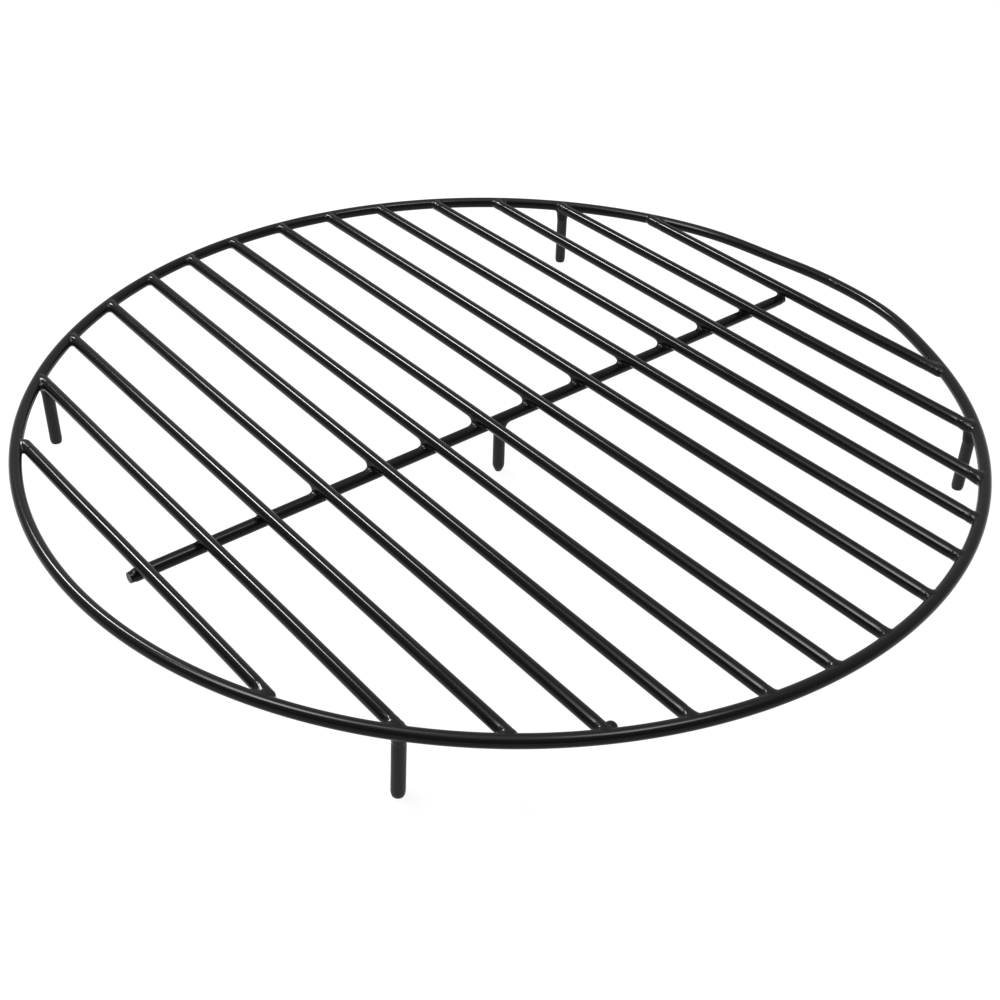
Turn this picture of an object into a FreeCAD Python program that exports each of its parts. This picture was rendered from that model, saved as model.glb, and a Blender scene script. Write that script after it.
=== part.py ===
"""Round fire grate of welded steel rod.

Fourteen straight bars lie side by side inside a ring bent from the same rod. A cross bar
runs under all of them. Four legs stand under the ring and one under the cross bar.

Frame, in millimetres: +X along the bars, +Y along the cross bar, +Z up. The origin is on
the ground under the ring's centre. Bar 1 is the bar furthest towards -Y.
"""
import FreeCAD, Part
import os
import Sketcher

doc = FreeCAD.newDocument("fire_grate")

# ------------------------------------------------------------------------------ sizes

DRIVING = (
    ("ring_outer_diameter", 762.0, "across the outside of the ring"),
    ("overall_height", 63.5, "ground to the top of the ring and bars"),
    ("rod_diameter", 9.525, "the one rod that every piece is cut from"),
    ("bar_count", 14, "bars inside the ring"),
    ("end_bar_setback", 48.6, "ring's centre line to the axis of the nearest bar"),
    ("cross_bar_offset", 6.4, "cross bar's axis from the ring's centre, along X"),
    ("cross_bar_overhang", 3.5, "cross bar past the outer side of bar 1"),
    ("cross_bar_inset", 3.4, "cross bar short of the outer side of the last bar"),
    ("ring_leg_inset", 4.5, "a ring leg's axis inside the ring's centre line"),
    ("centre_leg_offset", 7.5, "centre leg's axis from the ring's centre, towards bar 1"),
    ("leg_chamfer", 1.2, "broken edge at the foot of a leg"),
    ("fit_up_gap", 0.2, "clearance between two rods that a weld bridges"),
    ("fillet_reach", 4.0, "a fillet's length along a rod from the joint"),
    ("fillet_crown", 2.0, "how far a fillet stands out from a rod"),
    ("fillet_toe", 1.9, "how far a fillet stops short of the ring's centre line"),
    ("fillet_cap", 0.8, "how far a bar's end weld stands above and below the ring"),
    ("collar_root", 0.5, "thickness of a leg's collar weld at its lower edge"),
    ("seam_direction", 87.0, "where the ring closes, in degrees from +X about +Z"),
    ("seam_gap", 2.0, "opening between the ring's two ends before welding"),
    ("seam_cap_width", 9.0, "width of the seam's weld along the ring"),
    ("seam_crown", 0.7, "how far the seam's weld stands out from the rod"),
)

# What follows from the driving sizes. Levels are heights of a rod's axis above the ground.
DERIVED = (
    ("rod_radius", "rod_diameter / 2"),
    ("ring_mid_radius", "(ring_outer_diameter - rod_diameter) / 2"),
    ("ring_inner_radius", "ring_mid_radius - rod_radius"),
    ("ring_level", "overall_height - rod_radius"),
    ("cross_bar_level", "ring_level - rod_diameter - fit_up_gap"),
    ("end_bar_place", "ring_mid_radius - end_bar_setback"),
    ("bar_pitch", "2 * end_bar_place / (bar_count - 1)"),
    ("cross_bar_start", "0 - end_bar_place - rod_radius - cross_bar_overhang"),
    ("cross_bar_finish", "end_bar_place + rod_radius - cross_bar_inset"),
    ("cross_bar_length", "cross_bar_finish - cross_bar_start"),
    ("cross_bar_middle", "(cross_bar_start + cross_bar_finish) / 2"),
    ("ring_leg_length", "ring_level - rod_radius - fit_up_gap"),
    ("ring_leg_circle", "ring_mid_radius - ring_leg_inset"),
    ("ring_leg_y", "end_bar_place - bar_pitch"),
    ("ring_leg_x", "sqrt(ring_leg_circle ^ 2 - ring_leg_y ^ 2)"),
    ("centre_leg_length", "cross_bar_level - rod_radius - fit_up_gap"),
    ("fillet_radius", "rod_radius + fillet_crown"),
    ("seam_gap_angle", "seam_gap / ring_mid_radius * 180 / pi"),
    ("seam_cap_angle", "seam_cap_width / ring_mid_radius * 180 / pi"),
)

sheet = doc.addObject("Spreadsheet::Sheet", "sizes")
rows = [(alias, str(value), note) for alias, value, note in DRIVING]
rows += [(alias, "=" + formula, "derived") for alias, formula in DERIVED]
for row, (alias, content, note) in enumerate(rows, start=1):
    sheet.set(f"A{row}", alias)
    sheet.set(f"B{row}", content)
    sheet.setAlias(f"B{row}", alias)
    sheet.set(f"C{row}", note)
doc.recompute()

X_AXIS = FreeCAD.Vector(1, 0, 0)
Y_AXIS = FreeCAD.Vector(0, 1, 0)
Z_AXIS = FreeCAD.Vector(0, 0, 1)
UPRIGHT = FreeCAD.Rotation()
ALONG_X = FreeCAD.Rotation(Y_AXIS, 90)
ALONG_Y = FreeCAD.Rotation(X_AXIS, -90)

pieces = []


# ---------------------------------------------------------------------------- helpers

def bind(thing, **sizes):
    """Tie an object's properties to the sheet."""
    for name, expression in sizes.items():
        thing.setExpression(name, expression)


def place(thing, rotation, x="0", y="0", z="0"):
    """Turn an object, and tie where it stands to the sheet."""
    thing.Placement = FreeCAD.Placement(FreeCAD.Vector(), rotation)
    for axis, expression in (("x", x), ("y", y), ("z", z)):
        thing.setExpression(f"Placement.Base.{axis}", expression)


def keep(thing, label):
    """Name an object as one of the finished pieces."""
    thing.Label = label
    pieces.append(thing)
    return thing


def origin_plane(body, role):
    """One of a body's own origin planes."""
    return next(plane for plane in body.Origin.OriginFeatures if plane.Role == role)


def section_sketch(body, role):
    """The rod's round section on one of the body's planes, its diameter tied to the sheet."""
    sketch = body.newObject("Sketcher::SketchObject", body.Name + "_section")
    sketch.AttachmentSupport = [(origin_plane(body, role), "")]
    sketch.MapMode = "FlatFace"
    sketch.addGeometry(Part.Circle(FreeCAD.Vector(1, 0, 0), Z_AXIS, sheet.rod_radius))
    sketch.addConstraint(Sketcher.Constraint("Diameter", 0, sheet.rod_diameter))
    sketch.setExpression("Constraints[0]", "sizes.rod_diameter")
    return sketch


def rod(label, length, rotation, x="0", y="0", z="0", middle=True):
    """A straight length of rod, drawn upright, then turned and placed."""
    body = doc.addObject("PartDesign::Body", label)
    sketch = section_sketch(body, "XY_Plane")
    sketch.addConstraint(Sketcher.Constraint("Coincident", 0, 3, -1, 1))
    pad = body.newObject("PartDesign::Pad", label + "_length")
    pad.Profile = sketch
    pad.Midplane = middle
    bind(pad, Length=length)
    place(body, rotation, x, y, z)
    return body


def cut(base, tools, label):
    """The base with every tool taken away, one after another."""
    for step, tool in enumerate(tools, start=1):
        result = doc.addObject("Part::Cut", f"{label}_cut_{step}")
        result.Base = base
        result.Tool = tool
        base = result
    return base


def common(first, second, label):
    """What two objects share."""
    result = doc.addObject("Part::Common", label)
    result.Base = first
    result.Tool = second
    return result


def round_bar(label, radius, length, rotation, x="0", y="0", z="0"):
    """A plain cylinder for building welds, starting at its place."""
    solid = doc.addObject("Part::Cylinder", label)
    bind(solid, Radius=radius, Height=length)
    place(solid, rotation, x, y, z)
    return solid


# ------------------------------------------------------------------------------- ring

def make_ring():
    """The rod bent to a circle, open at the seam by the welding gap."""
    body = doc.addObject("PartDesign::Body", "ring")
    sketch = section_sketch(body, "XZ_Plane")
    sketch.addConstraint(Sketcher.Constraint("PointOnObject", 0, 3, -1))
    reach = sketch.addConstraint(Sketcher.Constraint("DistanceX", -1, 1, 0, 3, sheet.ring_mid_radius))
    sketch.setExpression(f"Constraints[{reach}]", "sizes.ring_mid_radius")
    bend = body.newObject("PartDesign::Revolution", "ring_bend")
    bend.Profile = sketch
    bend.ReferenceAxis = (sketch, ["V_Axis"])
    bend.Midplane = True
    bind(bend, Angle="360 - sizes.seam_gap_angle")
    place(body, FreeCAD.Rotation(Z_AXIS, 1), z="sizes.ring_level")
    # The bend is even about its sketch, so the gap is opposite it.
    body.setExpression("Placement.Rotation.Angle", "sizes.seam_direction + 180")
    return keep(body, "ring")


def make_seam_weld(ring):
    """The weld that closes the ring: the gap filled, with a low cap over both ends."""
    cap = doc.addObject("Part::Torus", "seam_cap")
    bind(
        cap,
        Radius1="sizes.ring_mid_radius",
        Radius2="sizes.rod_radius + sizes.seam_crown",
        Angle3="sizes.seam_cap_angle",
    )
    place(cap, FreeCAD.Rotation(Z_AXIS, 1), z="sizes.ring_level")
    cap.setExpression("Placement.Rotation.Angle", "sizes.seam_direction - sizes.seam_cap_angle / 2")
    return keep(cut(cap, [ring], "seam_weld"), "ring_seam_weld")


# ------------------------------------------------------------------------ bars and legs

def bar_place(number):
    """A bar's axis along Y."""
    return f"({number} - (sizes.bar_count + 1) / 2) * sizes.bar_pitch"


def make_bars():
    """Bars cut square, each so long that its outer corners come up to the ring's inner side."""
    bars = []
    for number in range(1, int(sheet.bar_count) + 1):
        outer_side = f"(abs({bar_place(number)}) + sizes.rod_radius)"
        half = f"sqrt(sizes.ring_inner_radius ^ 2 - {outer_side} ^ 2) - sizes.fit_up_gap"
        label = f"bar_{number:02d}"
        bar = rod(label, f"2 * ({half})", ALONG_X, y=bar_place(number), z="sizes.ring_level")
        bars.append(keep(bar, label))
    return bars


def make_cross_bar():
    """The bar under all the others."""
    body = rod(
        "cross_bar",
        "sizes.cross_bar_length",
        ALONG_Y,
        x="sizes.cross_bar_offset",
        y="sizes.cross_bar_middle",
        z="sizes.cross_bar_level",
    )
    return keep(body, "cross_bar")


def make_leg(label, length, x, y):
    """A leg standing on the ground, with the edge of its foot broken."""
    body = rod(label, length, UPRIGHT, x, y, middle=False)
    doc.recompute()
    pad = body.Tip
    foot = min(range(len(pad.Shape.Edges)), key=lambda i: pad.Shape.Edges[i].CenterOfMass.z)
    chamfer = body.newObject("PartDesign::Chamfer", label + "_foot")
    chamfer.Base = (pad, [f"Edge{foot + 1}"])
    bind(chamfer, Size="sizes.leg_chamfer")
    return keep(body, label)


# The four legs under the ring, each with the signs of its X and Y.
RING_LEGS = {
    "leg_front": ("", "-"),
    "leg_left": ("-", "-"),
    "leg_right": ("", ""),
    "leg_rear": ("-", ""),
}


def ring_leg_spot(label):
    """Where a ring leg stands."""
    x_sign, y_sign = RING_LEGS[label]
    return f"{x_sign}sizes.ring_leg_x", f"{y_sign}sizes.ring_leg_y"


CENTRE_LEG_SPOT = ("sizes.cross_bar_offset", "-sizes.centre_leg_offset")


# ------------------------------------------------------------------------------ welds

def make_fillet_zone():
    """Room for the welds on the ring's inner side, up to their toe on the ring."""
    reach = doc.addObject("Part::Torus", "ring_reach")
    bind(reach, Radius1="sizes.ring_mid_radius", Radius2="sizes.rod_radius + sizes.fillet_reach")
    place(reach, UPRIGHT, z="sizes.ring_level")
    inside = round_bar(
        "ring_toe",
        "sizes.ring_mid_radius - sizes.fillet_toe",
        "sizes.rod_diameter + 2 * sizes.fillet_cap",
        UPRIGHT,
        z="sizes.ring_level - sizes.rod_radius - sizes.fillet_cap",
    )
    return common(reach, inside, "fillet_zone")


def make_bar_end_welds(bars, ring, legs):
    """The fillets at both ends of each bar. Each fills the wedge between bar and ring."""
    zone = make_fillet_zone()
    welds = []
    for number, bar in enumerate(bars, start=1):
        label = f"bar_end_welds_{number:02d}"
        sleeve = round_bar(
            f"{label}_sleeve",
            "sizes.fillet_radius",
            "sizes.ring_outer_diameter",
            ALONG_X,
            x="-sizes.ring_outer_diameter / 2",
            y=bar_place(number),
            z="sizes.ring_level",
        )
        shared = common(zone, sleeve, f"{label}_shared")
        near = [legs[name] for name in RING_LEGS] if number in (2, len(bars) - 1) else []
        welds.append(keep(cut(shared, [ring, bar] + near, label), label))
    return welds


def make_cross_bar_welds(bars, cross_bar):
    """The pads that join the cross bar to each bar above it."""
    for number, bar in enumerate(bars, start=1):
        label = f"cross_bar_weld_{number:02d}"
        over = round_bar(
            f"{label}_over",
            "sizes.fillet_radius",
            "4 * sizes.rod_diameter",
            ALONG_X,
            x="sizes.cross_bar_offset - 2 * sizes.rod_diameter",
            y=bar_place(number),
            z="sizes.ring_level",
        )
        under = round_bar(
            f"{label}_under",
            "sizes.fillet_radius",
            "sizes.cross_bar_length + 2 * sizes.fillet_crown",
            ALONG_Y,
            x="sizes.cross_bar_offset",
            y="sizes.cross_bar_start - sizes.fillet_crown",
            z="sizes.cross_bar_level",
        )
        shared = common(over, under, f"{label}_shared")
        keep(cut(shared, [bar, cross_bar], label), label)


def make_collar(label, spot, top, cuts):
    """A leg's collar weld: a flared ring round its top, up to the toe on the rod above."""
    x, y = spot
    flare = doc.addObject("Part::Cone", f"{label}_flare")
    bind(
        flare,
        Radius1="sizes.rod_radius + sizes.collar_root",
        Radius2="sizes.fillet_radius",
        Height="sizes.fillet_reach",
    )
    place(flare, UPRIGHT, x, y, f"{top} - sizes.fillet_reach")
    height = "sizes.rod_radius + sizes.fit_up_gap - sizes.fillet_toe"
    cap = round_bar(f"{label}_cap", "sizes.fillet_radius", height, UPRIGHT, x, y, top)
    collar = doc.addObject("Part::Fuse", f"{label}_collar")
    collar.Base = flare
    collar.Tool = cap
    return keep(cut(collar, cuts, label), label)


# --------------------------------------------------------------------------- assembly

ring = make_ring()
make_seam_weld(ring)
bars = make_bars()
cross_bar = make_cross_bar()
legs = {name: make_leg(name, "sizes.ring_leg_length", *ring_leg_spot(name)) for name in RING_LEGS}
centre_leg = make_leg("leg_centre", "sizes.centre_leg_length", *CENTRE_LEG_SPOT)

bar_end_welds = make_bar_end_welds(bars, ring, legs)
make_cross_bar_welds(bars, cross_bar)
for name, leg in legs.items():
    beside = 1 if RING_LEGS[name][1] else len(bars) - 2
    touching = [leg, ring, bars[beside], bar_end_welds[beside]]
    make_collar(f"{name}_weld", ring_leg_spot(name), "sizes.ring_leg_length", touching)
make_collar("leg_centre_weld", CENTRE_LEG_SPOT, "sizes.centre_leg_length", [centre_leg, cross_bar])

doc.recompute()

# ------------------------------------------------------------------- checks and export

for thing in doc.Objects:
    if "Invalid" in thing.State or "Error" in thing.State:
        raise RuntimeError(f"{thing.Label} failed: {thing.State}")
for piece in pieces:
    if piece.Shape.isNull() or not piece.Shape.isValid():
        raise RuntimeError(f"{piece.Label} has no valid shape")

os.makedirs("parts", exist_ok=True)
for piece in pieces:
    piece.Shape.exportStep(f"parts/{piece.Label}.step")
    print(f"{piece.Label}: {len(piece.Shape.Solids)} solids, {piece.Shape.Volume:.1f} mm3")
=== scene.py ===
"""A round steel fire pit grate, coated black: one ring, fourteen bars, a cross bar under them and five short legs, all welded."""

import math
import random

import bmesh
import bpy
from mathutils import Euler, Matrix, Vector


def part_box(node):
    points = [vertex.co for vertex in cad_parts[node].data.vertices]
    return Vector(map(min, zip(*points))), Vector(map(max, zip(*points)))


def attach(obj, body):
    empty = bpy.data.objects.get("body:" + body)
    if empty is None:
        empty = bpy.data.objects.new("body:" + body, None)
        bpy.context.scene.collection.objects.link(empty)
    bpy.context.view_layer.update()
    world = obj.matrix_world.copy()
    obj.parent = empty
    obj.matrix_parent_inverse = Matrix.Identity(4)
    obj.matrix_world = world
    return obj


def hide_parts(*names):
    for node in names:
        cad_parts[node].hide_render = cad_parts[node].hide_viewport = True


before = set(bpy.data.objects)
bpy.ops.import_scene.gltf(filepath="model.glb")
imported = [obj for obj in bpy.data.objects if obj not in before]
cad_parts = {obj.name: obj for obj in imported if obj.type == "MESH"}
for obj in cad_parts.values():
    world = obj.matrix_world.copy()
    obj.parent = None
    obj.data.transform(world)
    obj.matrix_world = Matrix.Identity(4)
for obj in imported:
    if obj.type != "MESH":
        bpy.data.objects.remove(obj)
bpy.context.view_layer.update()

MM = 0.001


# ---------------------------------------------------------------- sizes, read from the frame

def rod_ends(node, axis):
    """The two ends of a straight rod's axis, from the rod's box."""
    low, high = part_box(node)
    start, end = (low + high) / 2, (low + high) / 2
    start[axis], end[axis] = low[axis], high[axis]
    return start, end


bars = sorted(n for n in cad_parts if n.startswith("bar_") and "weld" not in n)
legs = ["leg_front", "leg_left", "leg_right", "leg_rear", "leg_centre"]
ring_low, ring_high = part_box("ring")
steel_radius = (ring_high.z - ring_low.z) / 2
ring_level = (ring_high.z + ring_low.z) / 2
ring_radius = (ring_high.x - ring_low.x) / 2 - steel_radius
COAT = 0.1 * MM
rod_radius = steel_radius + COAT


# ---------------------------------------------------------------- one helper for every node tree

def add(tree, kind, inputs=None, **settings):
    """A node of this kind in the tree, with its settings, and its inputs given as values or as the sockets that feed them."""
    node = tree.nodes.new(kind)
    for name, value in settings.items():
        setattr(node, name, value)
    for key, value in (inputs or {}).items():
        if isinstance(value, bpy.types.Node):
            value = value.outputs[0]
        if isinstance(value, bpy.types.NodeSocket):
            tree.links.new(value, node.inputs[key])
        else:
            node.inputs[key].default_value = value
    return node


def new_tree(name, inputs, output):
    """An empty geometry tree with named inputs, and its input and output nodes."""
    tree = bpy.data.node_groups.new(name, "GeometryNodeTree")
    for label, kind in inputs.items():
        tree.interface.new_socket(label, in_out="INPUT", socket_type="NodeSocket" + kind)
    tree.interface.new_socket(output[0], in_out="OUTPUT", socket_type="NodeSocket" + output[1])
    return tree, tree.nodes.new("NodeGroupInput").outputs, tree.nodes.new("NodeGroupOutput")


def close_tree(tree, geometry, material, out):
    """Ends a tree with smooth faces, real geometry and its material."""
    smooth = add(tree, "GeometryNodeSetShadeSmooth", {"Geometry": geometry})
    real = add(tree, "GeometryNodeRealizeInstances", {"Geometry": smooth})
    coated = add(tree, "GeometryNodeSetMaterial", {"Geometry": real, "Material": material})
    tree.links.new(coated.outputs[0], out.inputs[0])


# ---------------------------------------------------------------- tree: a straight rod with eased ends

def straight_rod_tree():
    """A round rod from Start to End. Its rings sit close together at the ends, where the edge is eased, and each half bows
    a little."""
    tree, given, out = new_tree("Straight rod", {
        "Start": "Vector", "End": "Vector", "Radius": "Float", "Eased Start": "Float", "Eased End": "Float",
        "Bow Start": "Vector", "Bow End": "Vector", "Rings": "Int", "Sides": "Int", "Material": "Material"}, ("Rod", "Geometry"))
    line = add(tree, "GeometryNodeCurvePrimitiveLine", {"Start": given["Start"], "End": given["End"]})
    even = add(tree, "GeometryNodeResampleCurve", {"Curve": line, "Count": given["Rings"]})
    along = add(tree, "GeometryNodeSplineParameter").outputs["Factor"]

    # the share of the length at each ring: cosine steps crowd the rings towards both ends
    turn = add(tree, "ShaderNodeMath", {0: along, 1: math.pi}, operation="MULTIPLY")
    cosine = add(tree, "ShaderNodeMath", {0: turn}, operation="COSINE")
    share = add(tree, "ShaderNodeMath", {0: cosine, 1: -0.5, 2: 0.5}, operation="MULTIPLY_ADD")
    place = add(tree, "ShaderNodeMix", {"Factor": share, 4: given["Start"], 5: given["End"]}, data_type="VECTOR")

    # the bow is nothing at both ends and in the middle, where the welds are
    full_turn = add(tree, "ShaderNodeMath", {0: share, 1: 2 * math.pi}, operation="MULTIPLY")
    wave = add(tree, "ShaderNodeMath", {0: full_turn}, operation="SINE")
    swell = add(tree, "ShaderNodeMath", {0: add(tree, "ShaderNodeMath", {0: wave}, operation="ABSOLUTE"), 1: 2.0}, operation="POWER")
    second = add(tree, "ShaderNodeMath", {0: share, 1: 0.5}, operation="GREATER_THAN")
    bow = add(tree, "ShaderNodeMix", {"Factor": second, 4: given["Bow Start"], 5: given["Bow End"]}, data_type="VECTOR")
    shift = add(tree, "ShaderNodeVectorMath", {0: bow.outputs[1], "Scale": swell}, operation="SCALE")
    moved = add(tree, "GeometryNodeSetPosition", {"Geometry": even, "Position": place.outputs[1], "Offset": shift})

    # the eased end: radius - e + sqrt(e^2 - (e - x)^2), where x is the distance from that end
    length = add(tree, "ShaderNodeVectorMath", {0: given["Start"], 1: given["End"]}, operation="DISTANCE").outputs["Value"]
    girth = given["Radius"]
    left_over = add(tree, "ShaderNodeMath", {0: 1.0, 1: share}, operation="SUBTRACT")
    for ease, from_end in (("Eased Start", share), ("Eased End", left_over)):
        x = add(tree, "ShaderNodeMath", {0: from_end, 1: length}, operation="MULTIPLY")
        to_body = add(tree, "ShaderNodeMath", {0: given[ease], 1: x}, operation="SUBTRACT")
        left = add(tree, "ShaderNodeMath", {0: to_body, 1: 0.0}, operation="MAXIMUM")
        squares = add(tree, "ShaderNodeMath", {
            0: add(tree, "ShaderNodeMath", {0: given[ease], 1: given[ease]}, operation="MULTIPLY"),
            1: add(tree, "ShaderNodeMath", {0: left, 1: left}, operation="MULTIPLY")}, operation="SUBTRACT")
        not_negative = add(tree, "ShaderNodeMath", {0: squares, 1: 0.0}, operation="MAXIMUM")
        root = add(tree, "ShaderNodeMath", {0: not_negative}, operation="SQRT")
        cut = add(tree, "ShaderNodeMath", {0: given[ease], 1: root}, operation="SUBTRACT")
        girth = add(tree, "ShaderNodeMath", {0: girth, 1: cut}, operation="SUBTRACT")

    section = add(tree, "GeometryNodeCurvePrimitiveCircle", {"Resolution": given["Sides"], "Radius": 1.0})
    rod = add(tree, "GeometryNodeCurveToMesh", {"Curve": moved, "Profile Curve": section, "Scale": girth, "Fill Caps": True})
    close_tree(tree, rod, given["Material"], out)
    return tree


# ---------------------------------------------------------------- tree: the ring

def ring_tree():
    """The rod rolled to a circle. Beside its closing seam the rolled ends stand a little out on one side and lie
    a little flat on the other."""
    tree, given, out = new_tree("Rolled ring", {
        "Ring Radius": "Float", "Level": "Float", "Rod Radius": "Float",
        "Bulge": "Float", "Bulge Direction": "Float", "Flat": "Float", "Flat Direction": "Float", "Spread": "Float",
        "Rings": "Int", "Sides": "Int", "Material": "Material"}, ("Ring", "Geometry"))
    circle = add(tree, "GeometryNodeCurvePrimitiveCircle", {"Resolution": given["Rings"], "Radius": given["Ring Radius"]})
    flat_place = add(tree, "ShaderNodeSeparateXYZ", {0: add(tree, "GeometryNodeInputPosition")})
    angle = add(tree, "ShaderNodeMath", {0: flat_place.outputs[1], 1: flat_place.outputs[0]}, operation="ARCTAN2")
    outward = add(tree, "ShaderNodeVectorMath", {0: add(tree, "GeometryNodeInputPosition")}, operation="NORMALIZE")

    total = None
    for amount, direction in (("Bulge", "Bulge Direction"), ("Flat", "Flat Direction")):
        # amount x e^-(angle from the direction / spread)^2
        past = add(tree, "ShaderNodeMath", {0: angle, 1: given[direction]}, operation="SUBTRACT")
        off = add(tree, "ShaderNodeMath", {0: past, 1: given["Spread"]}, operation="DIVIDE")
        square = add(tree, "ShaderNodeMath", {0: off, 1: off}, operation="MULTIPLY")
        fall = add(tree, "ShaderNodeMath", {0: square, 1: -1.0}, operation="MULTIPLY")
        bell = add(tree, "ShaderNodeMath", {0: math.e, 1: fall}, operation="POWER")
        part = add(tree, "ShaderNodeMath", {0: bell, 1: given[amount]}, operation="MULTIPLY")
        total = part if total is None else add(tree, "ShaderNodeMath", {0: total, 1: part}, operation="ADD")
    out_shift = add(tree, "ShaderNodeVectorMath", {0: outward, "Scale": total}, operation="SCALE")
    lift = add(tree, "ShaderNodeCombineXYZ", {2: given["Level"]})
    moved = add(tree, "GeometryNodeSetPosition", {
        "Geometry": circle, "Offset": add(tree, "ShaderNodeVectorMath", {0: out_shift, 1: lift}, operation="ADD")})
    section = add(tree, "GeometryNodeCurvePrimitiveCircle", {"Resolution": given["Sides"], "Radius": given["Rod Radius"]})
    ring = add(tree, "GeometryNodeCurveToMesh", {"Curve": moved, "Profile Curve": section, "Scale": 1.0})
    close_tree(tree, ring, given["Material"], out)
    return tree


# ---------------------------------------------------------------- tree: a weld, grown between the rods it joins

def rod_distance_group():
    """How far a point is from the surface of a straight rod with round ends."""
    tree, given, out = new_tree("Distance to a straight rod", {
        "Place": "Vector", "Start": "Vector", "End": "Vector", "Radius": "Float"}, ("Distance", "Float"))
    run = add(tree, "ShaderNodeVectorMath", {0: given["End"], 1: given["Start"]}, operation="SUBTRACT")
    here = add(tree, "ShaderNodeVectorMath", {0: given["Place"], 1: given["Start"]}, operation="SUBTRACT")
    ahead = add(tree, "ShaderNodeVectorMath", {0: here, 1: run}, operation="DOT_PRODUCT").outputs["Value"]
    whole = add(tree, "ShaderNodeVectorMath", {0: run, 1: run}, operation="DOT_PRODUCT").outputs["Value"]
    share = add(tree, "ShaderNodeClamp", {"Value": add(tree, "ShaderNodeMath", {0: ahead, 1: whole}, operation="DIVIDE")})
    foot = add(tree, "ShaderNodeVectorMath", {0: run, "Scale": share}, operation="SCALE")
    away = add(tree, "ShaderNodeVectorMath", {0: here, 1: foot}, operation="DISTANCE").outputs["Value"]
    to_surface = add(tree, "ShaderNodeMath", {0: away, 1: given["Radius"]}, operation="SUBTRACT")
    tree.links.new(to_surface.outputs[0], out.inputs[0])
    return tree


FED_GAIN = 0.45  # how much wider the fillet is on the fed side, as a share of its reach
BALL_SHARE = 0.93  # a weld keeps to this share of its half size, so the box round it never cuts it
LIMIT_ROUNDING = 1.2 * MM  # how softly a weld's limits cut it
SOFT_SHELL = 6 * MM  # the depth over which a weld's density falls from one to nothing


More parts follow.
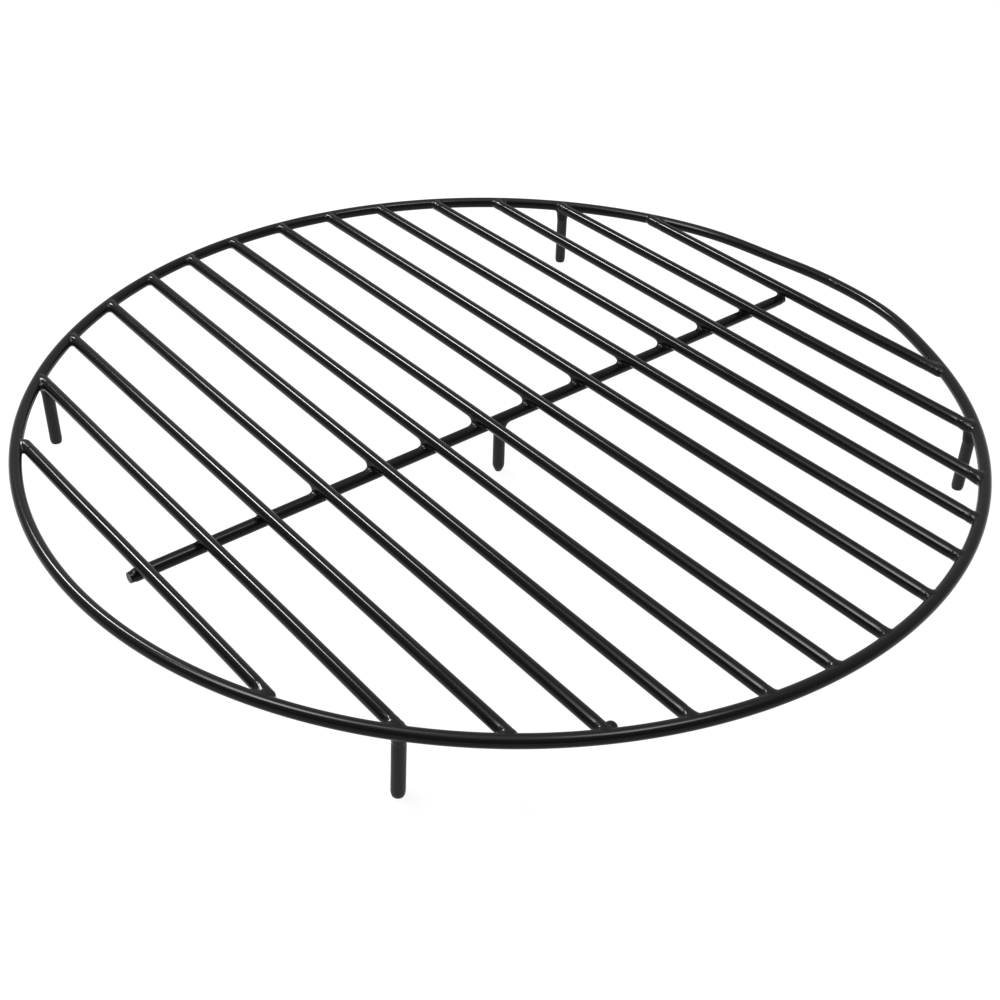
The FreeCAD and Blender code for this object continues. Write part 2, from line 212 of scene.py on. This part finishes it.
def weld_tree(rod_distance):
    """Weld metal and coating between rods that meet. It fills the corner between them to about a sixth of Reach, more on
    the Fed Side, where the welder stood, and sinks by Bias under the rods further off. Swell raises a bead round the
    joint. Top and Bottom are the levels it stays between."""
    tree, given, out = new_tree("Weld between rods", {
        "Joint": "Vector", "Half Size": "Float", "Grain": "Float",
        "Rod A Start": "Vector", "Rod A End": "Vector", "Rod B Start": "Vector", "Rod B End": "Vector",
        "Rod C Start": "Vector", "Rod C End": "Vector",
        "Rod Radius": "Float", "Ring Radius": "Float", "Ring Level": "Float", "Ring Away": "Float",
        "Reach": "Float", "Fed Side": "Vector", "Bias": "Float", "Swell": "Float", "Swell Width": "Float",
        "Lumps": "Float", "Lump Size": "Float", "Seed": "Float", "Top": "Float", "Bottom": "Float",
        "Material": "Material"}, ("Weld", "Geometry"))
    place = add(tree, "GeometryNodeInputPosition").outputs[0]

    # distance to the ring
    split = add(tree, "ShaderNodeSeparateXYZ", {0: place})
    level_off = add(tree, "ShaderNodeMath", {0: split.outputs[2], 1: given["Ring Level"]}, operation="SUBTRACT")
    flat = add(tree, "ShaderNodeCombineXYZ", {0: split.outputs[0], 1: split.outputs[1]})
    from_axis = add(tree, "ShaderNodeVectorMath", {0: flat}, operation="LENGTH").outputs["Value"]
    ring_off = add(tree, "ShaderNodeMath", {0: from_axis, 1: given["Ring Radius"]}, operation="SUBTRACT")
    core_off = add(tree, "ShaderNodeCombineXYZ", {0: ring_off, 1: level_off})
    to_core = add(tree, "ShaderNodeVectorMath", {0: core_off}, operation="LENGTH").outputs["Value"]
    to_ring = add(tree, "ShaderNodeMath", {0: to_core, 1: given["Rod Radius"]}, operation="SUBTRACT")
    nearest = add(tree, "ShaderNodeMath", {0: to_ring, 1: given["Ring Away"]}, operation="ADD")

    # how wide the fillet is here: it grows towards the fed side
    from_joint = add(tree, "ShaderNodeVectorMath", {0: place, 1: given["Joint"]}, operation="SUBTRACT")
    sideways = add(tree, "ShaderNodeVectorMath", {0: from_joint, 1: given["Fed Side"]}, operation="DOT_PRODUCT").outputs["Value"]
    in_radii = add(tree, "ShaderNodeMath", {0: sideways, 1: given["Rod Radius"]}, operation="DIVIDE")
    tilt = add(tree, "ShaderNodeClamp", {"Value": in_radii, "Min": -1.0, "Max": 1.0})
    gain = add(tree, "ShaderNodeMath", {0: tilt, 1: FED_GAIN, 2: 1.0}, operation="MULTIPLY_ADD")
    reach = add(tree, "ShaderNodeMath", {0: given["Reach"], 1: gain}, operation="MULTIPLY")
    for rod in "ABC":
        to_rod = add(tree, "GeometryNodeGroup", node_tree=rod_distance)
        sources = {"Place": place, "Start": given[f"Rod {rod} Start"], "End": given[f"Rod {rod} End"], "Radius": given["Rod Radius"]}
        for label, source in sources.items():
            tree.links.new(source, to_rod.inputs[label])
        nearest = add(tree, "ShaderNodeMath", {0: nearest, 1: to_rod, 2: reach}, operation="SMOOTH_MIN")

    # a bead round the joint: swell x (1 - (distance / width)^2)^2
    from_middle = add(tree, "ShaderNodeVectorMath", {0: from_joint}, operation="LENGTH").outputs["Value"]
    spread = add(tree, "ShaderNodeMath", {0: from_middle, 1: given["Swell Width"]}, operation="DIVIDE")
    square = add(tree, "ShaderNodeMath", {0: spread, 1: spread}, operation="MULTIPLY")
    fall = add(tree, "ShaderNodeMath", {0: 1.0, 1: square}, operation="SUBTRACT")
    bell = add(tree, "ShaderNodeMath", {0: fall, 1: 0.0}, operation="MAXIMUM")
    softer = add(tree, "ShaderNodeMath", {0: bell, 1: bell}, operation="MULTIPLY")
    bead = add(tree, "ShaderNodeMath", {0: softer, 1: given["Swell"]}, operation="MULTIPLY")

    # lumps of the weld pool
    lumps_per_metre = add(tree, "ShaderNodeMath", {0: 1.0, 1: given["Lump Size"]}, operation="DIVIDE")
    lump = add(tree, "ShaderNodeTexNoise", {
        "Vector": place, "W": given["Seed"], "Scale": lumps_per_metre, "Detail": 1.5, "Roughness": 0.5}, noise_dimensions="4D")
    centred = add(tree, "ShaderNodeMath", {0: lump.outputs[0], 1: 0.5}, operation="SUBTRACT")
    uneven = add(tree, "ShaderNodeMath", {0: centred, 1: given["Lumps"]}, operation="MULTIPLY")
    beaded = add(tree, "ShaderNodeMath", {0: nearest, 1: bead}, operation="SUBTRACT")
    body = add(tree, "ShaderNodeMath", {0: beaded, 1: uneven}, operation="SUBTRACT")
    sunk = add(tree, "ShaderNodeMath", {0: body, 1: given["Bias"]}, operation="ADD")

    # it stays between two levels and inside a ball round the joint
    over = add(tree, "ShaderNodeMath", {0: split.outputs[2], 1: given["Top"]}, operation="SUBTRACT")
    under = add(tree, "ShaderNodeMath", {0: given["Bottom"], 1: split.outputs[2]}, operation="SUBTRACT")
    ball = add(tree, "ShaderNodeMath", {0: given["Half Size"], 1: BALL_SHARE}, operation="MULTIPLY")
    outside = add(tree, "ShaderNodeMath", {0: from_middle, 1: ball}, operation="SUBTRACT")
    for limit in (over, under, outside):
        sunk = add(tree, "ShaderNodeMath", {0: sunk, 1: limit, 2: LIMIT_ROUNDING}, operation="SMOOTH_MAX")

    # the surface is where the density passes one half
    depth = add(tree, "ShaderNodeMath", {0: sunk, 1: -1 / SOFT_SHELL, 2: 0.5}, operation="MULTIPLY_ADD")
    density = add(tree, "ShaderNodeClamp", {"Value": depth})
    half = add(tree, "ShaderNodeCombineXYZ", {0: given["Half Size"], 1: given["Half Size"], 2: given["Half Size"]})
    low = add(tree, "ShaderNodeVectorMath", {0: given["Joint"], 1: half}, operation="SUBTRACT")
    high = add(tree, "ShaderNodeVectorMath", {0: given["Joint"], 1: half}, operation="ADD")
    half_steps = add(tree, "ShaderNodeMath", {0: given["Half Size"], 1: given["Grain"]}, operation="DIVIDE")
    steps = add(tree, "ShaderNodeMath", {0: half_steps, 1: 2.0}, operation="MULTIPLY")
    cloud = add(tree, "GeometryNodeVolumeCube", {
        "Density": density, "Background": 0.0, "Min": low, "Max": high,
        "Resolution X": steps, "Resolution Y": steps, "Resolution Z": steps})
    skin = add(tree, "GeometryNodeVolumeToMesh", {"Volume": cloud, "Threshold": 0.5, "Adaptivity": 0.0})
    close_tree(tree, skin, given["Material"], out)
    return tree


# ---------------------------------------------------------------- finishes

def colour(code):
    """An sRGB hex colour as linear red, green, blue and alpha."""
    parts = [int(code[i:i + 2], 16) / 255 for i in (1, 3, 5)]
    return tuple(c / 12.92 if c <= 0.04045 else ((c + 0.055) / 1.055) ** 2.4 for c in parts) + (1.0,)


def black_enamel(name, shade, lighter, mirror, roughness, rougher, peel, peel_size, nibs):
    """High-heat black enamel sprayed on mild steel rod and baked: a near-black gloss film that mirrors the studio lights as
    thin lines. The film has orange peel, slow changes of gloss where it went on thick or thin, and a few nibs of dust and
    spatter under it. peel, peel_size and nibs are in mm."""
    material = bpy.data.materials.new(name)
    material.use_nodes = True
    tree = material.node_tree
    shader = tree.nodes["Principled BSDF"]
    shader.inputs["IOR"].default_value = 1.5
    shader.inputs["Metallic"].default_value = 0.0
    shader.inputs["Specular IOR Level"].default_value = mirror
    place = add(tree, "ShaderNodeTexCoord").outputs["Object"]

    # film thickness: patches about 25 mm long
    film = add(tree, "ShaderNodeTexNoise", {"Vector": place, "Scale": 1 / (25 * MM), "Detail": 3.0, "Roughness": 0.55})
    # overspray and handling: finer grain, about 1.2 mm
    grain = add(tree, "ShaderNodeTexNoise", {"Vector": place, "Scale": 1 / (1.2 * MM), "Detail": 2.0, "Roughness": 0.6})
    # nibs: grit about 1 mm across, one in each cell of about 16 mm
    grit = add(tree, "ShaderNodeTexVoronoi", {"Vector": place, "Scale": 1 / (16 * MM), "Randomness": 1.0}, feature="F1")
    nib = add(tree, "ShaderNodeMapRange", {
        "Value": grit.outputs["Distance"], "From Min": 0.015, "From Max": 0.035, "To Min": 1.0, "To Max": 0.0},
        interpolation_type="SMOOTHSTEP")

    mixed = add(tree, "ShaderNodeMix", {"Factor": film.outputs[0], 6: colour(shade), 7: colour(lighter)}, data_type="RGBA")
    tree.links.new(mixed.outputs[2], shader.inputs["Base Color"])
    # gloss follows the film, and the grain a little
    gloss = add(tree, "ShaderNodeMix", {"Factor": 0.15, 2: film.outputs[0], 3: grain.outputs[0]}, data_type="FLOAT")
    rough = add(tree, "ShaderNodeMapRange", {"Value": gloss, "From Min": 0.3, "From Max": 0.7, "To Min": roughness, "To Max": rougher})
    tree.links.new(rough.outputs[0], shader.inputs["Roughness"])

    # orange peel: soft dimples
    dimple = add(tree, "ShaderNodeTexNoise", {"Vector": place, "Scale": 1 / (peel_size * MM), "Detail": 1.0, "Roughness": 0.4})
    skin = add(tree, "ShaderNodeBump", {"Height": dimple.outputs[0], "Strength": 1.0, "Distance": peel * MM})
    raised = add(tree, "ShaderNodeBump", {"Height": nib, "Strength": 1.0, "Distance": nibs * MM, "Normal": skin})
    tree.links.new(raised.outputs[0], shader.inputs["Normal"])
    return material


bar_enamel = black_enamel("Gloss_black_high_heat_enamel_on_bar", "#131313", "#161514", 0.20, 0.12, 0.16, 0.0003, 2.6, 0.006)
ring_enamel = black_enamel("Satin_black_high_heat_enamel_on_ring", "#171717", "#1b1b1a", 0.20, 0.12, 0.17, 0.0004, 2.4, 0.006)
leg_enamel = black_enamel("Satin_black_high_heat_enamel_on_leg", "#2f2f2f", "#343433", 0.20, 0.34, 0.46, 0.002, 1.6, 0.01)
weld_enamel = black_enamel("Gloss_black_high_heat_enamel_on_weld", "#171717", "#1c1b1b", 0.20, 0.14, 0.24, 0.003, 1.4, 0.02)


# ---------------------------------------------------------------- making a piece from a tree

def grow(tree, sizes):
    """The plain mesh that a tree makes with these named sizes."""
    maker = bpy.data.objects.new("maker", bpy.data.meshes.new("maker"))
    bpy.context.scene.collection.objects.link(maker)
    making = maker.modifiers.new("making", "NODES")
    making.node_group = tree
    for item in tree.interface.items_tree:
        if item.in_out == "INPUT":
            making[item.identifier] = sizes[item.name]
    maker.update_tag()
    mesh = bpy.data.meshes.new_from_object(maker.evaluated_get(bpy.context.evaluated_depsgraph_get()))
    maker.modifiers.remove(making)
    bpy.data.objects.remove(maker)
    return mesh


def piece(node, material, meshes):
    """One finished piece of these meshes, which stands for the CAD node and rides with the grate."""
    joined = bmesh.new()
    for mesh in meshes:
        joined.from_mesh(mesh)
    made = bpy.data.meshes.new(node + "_coated")
    joined.to_mesh(made)
    joined.free()
    made.materials.append(material)
    for face in made.polygons:
        face.material_index = 0
    thing = bpy.data.objects.new(node + "_coated", made)
    bpy.context.scene.collection.objects.link(thing)
    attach(thing, "root")
    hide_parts(node)


rod_maker = straight_rod_tree()
ring_maker = ring_tree()
weld_maker = weld_tree(rod_distance_group())
chance = random.Random(14)
ROD_SIDES = 40


def rod(start, end, eased_start, eased_end, bow, material):
    """A straight rod's mesh. bow is how far each half may lean from straight, sideways and up."""
    lean = [Vector((0, chance.uniform(-bow, bow), chance.uniform(-bow, bow) * 0.5)) for _ in range(2)]
    return grow(rod_maker, {
        "Start": start, "End": end, "Radius": rod_radius, "Eased Start": eased_start, "Eased End": eased_end,
        "Bow Start": lean[0], "Bow End": lean[1], "Rings": 120 if (end - start).length > 0.1 else 48, "Sides": ROD_SIDES,
        "Material": material})


# ---------------------------------------------------------------- ring, bars, cross bar and legs

# the bars that were laid least square, and how far in mm the +X end of each leads towards the last bar
CROOKED = {
    "bar_01": 1.5, "bar_04": -2.0, "bar_05": -3.0, "bar_07": 1.5, "bar_09": 2.0, "bar_10": 3.0, "bar_12": -3.0, "bar_14": -1.5}
HALF_WAVE = 350 * MM  # half the length of the slowest wave in the bars' spacing


def laid(bar):
    """The two ends of a bar's axis as it was laid by eye: on slow waves a few mm off the even pitch, and some bars a little
    out of square."""
    start, end = rod_ends(bar, 0)
    turn = math.pi * start.y / HALF_WAVE
    off = (-0.6 + 2.0 * math.sin(turn) + 1.1 * math.sin(2 * turn) - 0.9 * math.cos(3 * turn)) * MM
    lead = CROOKED.get(bar, 0) * MM
    # a crooked bar also slides along, so that both of its ends still meet the ring
    slide = -lead * start.y / math.sqrt(ring_radius ** 2 - start.y ** 2)
    return start + Vector((slide, off - lead, 0)), end + Vector((slide, off + lead, 0))


piece("ring", ring_enamel, [grow(ring_maker, {
    "Ring Radius": ring_radius, "Level": ring_level, "Rod Radius": rod_radius,
    "Bulge": 3.6 * MM, "Bulge Direction": math.radians(76.5), "Flat": -4.4 * MM, "Flat Direction": math.radians(98),
    "Spread": math.radians(7.5), "Rings": 720, "Sides": ROD_SIDES, "Material": ring_enamel})])

for bar in bars:
    start, end = laid(bar)
    piece(bar, bar_enamel, [rod(start, end, 0.4 * MM, 0.4 * MM, 0.5 * MM, bar_enamel)])

# the cross bar was laid a little askew, one way at its front end and the other way at its rear end
ASKEW = 4.3 * MM
cross_start, cross_end = rod_ends("cross_bar", 1)
cross_start.x += ASKEW
cross_end.x -= ASKEW
piece("cross_bar", bar_enamel, [rod(cross_start, cross_end, 0.8 * MM, 0.8 * MM, 0, bar_enamel)])

# how far in mm each ring leg stands along its bar from the even place
STRAY = {"leg_front": -1.3, "leg_left": 2.4, "leg_right": 3.0, "leg_rear": -1.0}


def stood(leg):
    """The two ends of a leg's axis as it was stood by hand."""
    foot, top = rod_ends(leg, 2)
    off = Vector((STRAY.get(leg, 0) * MM, 0, 0))
    # the front leg leans 1.5 mm at its foot
    lean = Vector((-0.9, -1.2, 0.13)) * MM if leg == "leg_front" else Vector((0, 0, 0))
    return foot + off + lean, top + off


for leg in legs:
    foot, top = stood(leg)
    eased = 2.2 * MM if leg == "leg_centre" else 0.6 * MM
    piece(leg, leg_enamel, [rod(foot, top, eased, 0.3 * MM, 0, leg_enamel)])


# ---------------------------------------------------------------- welds

NOWHERE = Vector((0, 0, 10))  # where the rods go that a weld doesn't use
WELD_GRAIN = 0.5 * MM
WELD_BIAS = 0.16 * MM


def weld(joint, half_size, rods, reach, fed_side=(0, 0, 0), at_ring=True, swell=0.0, swell_width=6.0, lumps=0.5,
         lump_size=2.6, top=1.0, bottom=-1.0):
    """A weld's mesh round a joint. rods are the straight rods that meet there, as pairs of ends; sizes are in mm, levels in
    metres."""
    ends = list(rods) + [(NOWHERE, NOWHERE + Vector((0, 0, 0.1)))] * (3 - len(rods))
    sizes = {
        "Joint": joint, "Half Size": half_size * MM, "Grain": WELD_GRAIN,
        "Rod Radius": rod_radius, "Ring Radius": ring_radius, "Ring Level": ring_level, "Ring Away": 0.0 if at_ring else 1.0,
        "Reach": reach * MM, "Fed Side": Vector(fed_side), "Bias": WELD_BIAS, "Swell": swell * MM, "Swell Width": swell_width * MM,
        "Lumps": lumps * MM, "Lump Size": lump_size * MM, "Seed": chance.uniform(0, 50), "Top": top, "Bottom": bottom,
        "Material": weld_enamel}
    for letter, (start, end) in zip("ABC", ends):
        sizes[f"Rod {letter} Start"], sizes[f"Rod {letter} End"] = start, end
    return grow(weld_maker, sizes)


# the cross bar's axis without its last rod radius, as the distance function rounds the ends
cross_along = (cross_end - cross_start).normalized() * rod_radius
cross_core = (cross_start + cross_along, cross_end - cross_along)

level_top = ring_level + rod_radius
level_bottom = ring_level - rod_radius
# two beads at the bars' +X ends that stand out: how far in mm each swells, and the side the welder fed it from
HEAVY_BEADS = {12: (1.5, (0, -1, 0)), 13: (1.5, (0, -1, 0))}
for number, bar in enumerate(bars, 1):
    start, end = laid(bar)
    beads = []
    for tip in (start, end):
        # weld metal fills most of the gap between the bar's square end and the ring, and less at the first bar's ends
        inside = math.copysign(math.sqrt(ring_radius ** 2 - tip.y ** 2) - rod_radius, tip.x)
        filled = 0.75 if number > 1 else 0.35 if tip.x < 0 else 0.6
        reached = Vector((tip.x + (inside - tip.x) * filled, tip.y, tip.z))
        gap = (reached - tip).length / MM
        heavy = number in HEAVY_BEADS and tip.x > 0
        swell, fed_side = HEAVY_BEADS[number] if heavy else (0.25, (0, 0, 0))
        last_half = (tip * 0.5 + Vector((0, tip.y, tip.z)) * 0.5, reached)
        beads.append(weld(
            (tip + reached) / 2, 13 + gap / 2, [last_half], chance.uniform(4.0, 5.6) + (2.0 if heavy else 0.0), fed_side,
            top=level_top + 0.4 * MM, bottom=level_bottom - 1.4 * MM, swell=swell, swell_width=7.5))
    if number == 4:
        # the welder left a round blob beside this bar's +X end
        side = end.y + 3.4 * MM
        blob = Vector((math.sqrt((ring_radius - 6.1 * MM) ** 2 - side ** 2), side, end.z))
        beads.append(weld(blob, 10, [(blob, blob + Vector((0, 1, 0)) * MM)], 2.0, lumps=0.2))
    piece(f"bar_end_welds_{number:02d}", weld_enamel, beads)

    # the fillet under a bar; the outer bars have a smaller one
    share = ((start.y + end.y) / 2 - cross_start.y) / (cross_end.y - cross_start.y)
    crossing = cross_start.lerp(cross_end, share)
    crossing.z = (start.z + cross_start.z) / 2
    reach = chance.uniform(4.0, 5.0) if number in (1, 2, 3, 13, 14) else chance.uniform(7.5, 10.5)
    piece(f"cross_bar_weld_{number:02d}", weld_enamel, [
        weld(crossing, 15, [(start, end), cross_core], reach, fed_side=(-1, 0, 0), at_ring=False, lumps=0.2, lump_size=3.6)])

for leg, bar in zip(legs[:4], (bars[1], bars[1], bars[-2], bars[-2])):
    foot, top = stood(leg)
    start, end = laid(bar)
    joint = Vector((top.x, top.y, level_bottom - 3 * MM))
    piece(leg + "_weld", weld_enamel, [
        weld(joint, 15, [(foot, top), (start, end)], 7.0, top=level_top - 2 * MM, bottom=level_bottom - 8 * MM,
             swell=2.2 if leg == "leg_right" else 1.3, swell_width=9.5, lumps=0.4, lump_size=2.8)])

foot, top = stood("leg_centre")
joint = Vector((top.x, top.y, cross_start.z - rod_radius - 0.5 * MM))
piece("leg_centre_weld", weld_enamel, [
    weld(joint, 15, [(foot, top), cross_core], 8.0, at_ring=False, top=cross_start.z + 2 * MM,
         swell=0.5, swell_width=8.0, lump_size=2.4)])

seam_low, seam_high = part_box("ring_seam_weld")
seam = (seam_low + seam_high) / 2
seam_joint = Vector((seam.x, seam.y, 0)).normalized() * ring_radius + Vector((0, 0, ring_level))
piece("ring_seam_weld", weld_enamel, [
    weld(seam_joint, 11, [], 1.0, swell=0.55, swell_width=8.5, lumps=0.0)])


# ---------------------------------------------------------------- floor, light and camera

FLOOR_RADIUS = 14
FLOOR_DROP = 0.2 * MM  # the floor lies this far under the feet, so the two never share a plane
WALL_RADIUS = 13.9
WALL_HEIGHT = 24


def lit_paper(name, shade, glow):
    """Matt white paper lit evenly by the studio: it glows a little by itself, so it stays pale in every view."""
    paper = bpy.data.materials.new(name)
    paper.use_nodes = True
    shader = paper.node_tree.nodes["Principled BSDF"]
    shader.inputs["Base Color"].default_value = colour(shade)
    shader.inputs["Roughness"].default_value = 0.9
    shader.inputs["Specular IOR Level"].default_value = 0.0
    shader.inputs["Emission Color"].default_value = colour("#ffffff")
    shader.inputs["Emission Strength"].default_value = glow
    return paper


def staged(name, shape, paper):
    """A piece of the studio in this paper, which isn't part of the object."""
    made = bpy.data.meshes.new(name)
    shape.to_mesh(made)
    shape.free()
    made.materials.append(paper)
    thing = bpy.data.objects.new(name, made)
    bpy.context.scene.collection.objects.link(thing)
    return thing


disc = bmesh.new()
bmesh.ops.create_circle(disc, cap_ends=True, radius=FLOOR_RADIUS, segments=96)
floor = staged("floor", disc, lit_paper("Lit_white_table", "#505050", 0.90))
floor.location.z = -FLOOR_DROP

# a pale wall all round, far off: it is only a background, and neither lights the grate nor shows in its gloss
tube = bmesh.new()
bmesh.ops.create_cone(tube, cap_ends=False, radius1=WALL_RADIUS, radius2=WALL_RADIUS, depth=WALL_HEIGHT, segments=96)
wall = staged("wall", tube, lit_paper("Lit_white_wall", "#000000", 0.96))
wall.visible_diffuse = wall.visible_glossy = wall.visible_transmission = wall.visible_shadow = False


def softbox(name, place, aim, width, height, brightness):
    """A rectangular softbox turned to aim. It is brightest in the middle and fades to nothing at its edges, so reflections
    have soft ends. brightness is how bright its face is in the middle, whatever its size."""
    lamp = bpy.data.lights.new(name, "AREA")
    lamp.shape = "RECTANGLE"
    lamp.size, lamp.size_y = width, height
    lamp.energy = brightness * width * height * math.pi
    lamp.use_nodes = True
    cloth = lamp.node_tree
    spot = add(cloth, "ShaderNodeSeparateXYZ", {0: add(cloth, "ShaderNodeNewGeometry").outputs["Parametric"]}).outputs
    fade = 1.0
    for side in (0, 1):
        # along each side the place runs from 0 to 1, and the fade is 4 x place x (1 - place)
        four_places = add(cloth, "ShaderNodeMath", {0: spot[side], 1: 4.0}, operation="MULTIPLY")
        rest = add(cloth, "ShaderNodeMath", {0: 4.0, 1: four_places}, operation="SUBTRACT")
        arch = add(cloth, "ShaderNodeMath", {0: spot[side], 1: rest}, operation="MULTIPLY")
        hump = add(cloth, "ShaderNodeMath", {0: arch, 1: 0.0}, operation="MAXIMUM")
        fade = add(cloth, "ShaderNodeMath", {0: hump, 1: fade}, operation="MULTIPLY")
    cloth.links.new(fade.outputs[0], cloth.nodes["Emission"].inputs["Strength"])
    thing = bpy.data.objects.new(name, lamp)
    thing.location = place
    thing.rotation_euler = (Vector(aim) - Vector(place)).to_track_quat("-Z", "Y").to_euler()
    thing.visible_camera = False
    bpy.context.scene.collection.objects.link(thing)


GRATE_MIDDLE = (0, 0, 0.06)
softbox("Key_softbox", (-1.62, -0.41, 1.70), GRATE_MIDDLE, 0.46, 0.92, 72)
softbox("Front_softbox", (-0.31, -0.84, 1.46), GRATE_MIDDLE, 0.62, 1.05, 22)
softbox("Front_panel", (-0.60, -0.60, 2.30), GRATE_MIDDLE, 1.30, 1.60, 5)
softbox("Overhead_softbox", (0.90, 0.32, 2.36), (0.90, 0.33, 0), 1.20, 1.10, 15)

# what the gloss mirrors of the room: a white wall on one side, a darker room on the other, and a pale ceiling
WHITE_WALL_TURN = math.radians(121)
world = bpy.data.worlds.new("Studio")
world.use_nodes = True
bpy.context.scene.world = world
studio = world.node_tree
backdrop = studio.nodes["Background"]
backdrop.inputs["Color"].default_value = (1, 1, 1, 1)
look = add(studio, "ShaderNodeTexCoord").outputs["Generated"]
wall_way = (math.cos(WHITE_WALL_TURN), math.sin(WHITE_WALL_TURN), 0)
to_wall = add(studio, "ShaderNodeVectorMath", {0: look, 1: wall_way}, operation="DOT_PRODUCT").outputs["Value"]
room = add(studio, "ShaderNodeMapRange", {"Value": to_wall, "From Min": -0.6, "From Max": 1.0, "To Min": 0.05, "To Max": 0.88})
upward = add(studio, "ShaderNodeSeparateXYZ", {0: look}).outputs[2]
ceiling = add(studio, "ShaderNodeMapRange", {
    "Value": upward, "From Min": 0.8, "From Max": 1.0, "To Min": 0.0, "To Max": 1.6}, interpolation_type="SMOOTHSTEP")
strength = add(studio, "ShaderNodeMath", {0: room, 1: ceiling}, operation="ADD")
studio.links.new(strength.outputs[0], backdrop.inputs["Strength"])

eye = bpy.data.cameras.new("Camera")
eye.sensor_width = 36
eye.lens = 53.04
camera = bpy.data.objects.new("Camera", eye)
camera.location = (0.7711, -0.6386, 0.6926)
camera.rotation_euler = Euler([math.radians(a) for a in (53.8685, -1.3819, 51.3491)], "XYZ")
bpy.context.scene.collection.objects.link(camera)
bpy.context.scene.camera = camera
bpy.context.scene.view_settings.view_transform = "Standard"
bpy.context.scene.view_settings.gamma = 0.85  # a little more contrast, so black steel stays black beside the white table
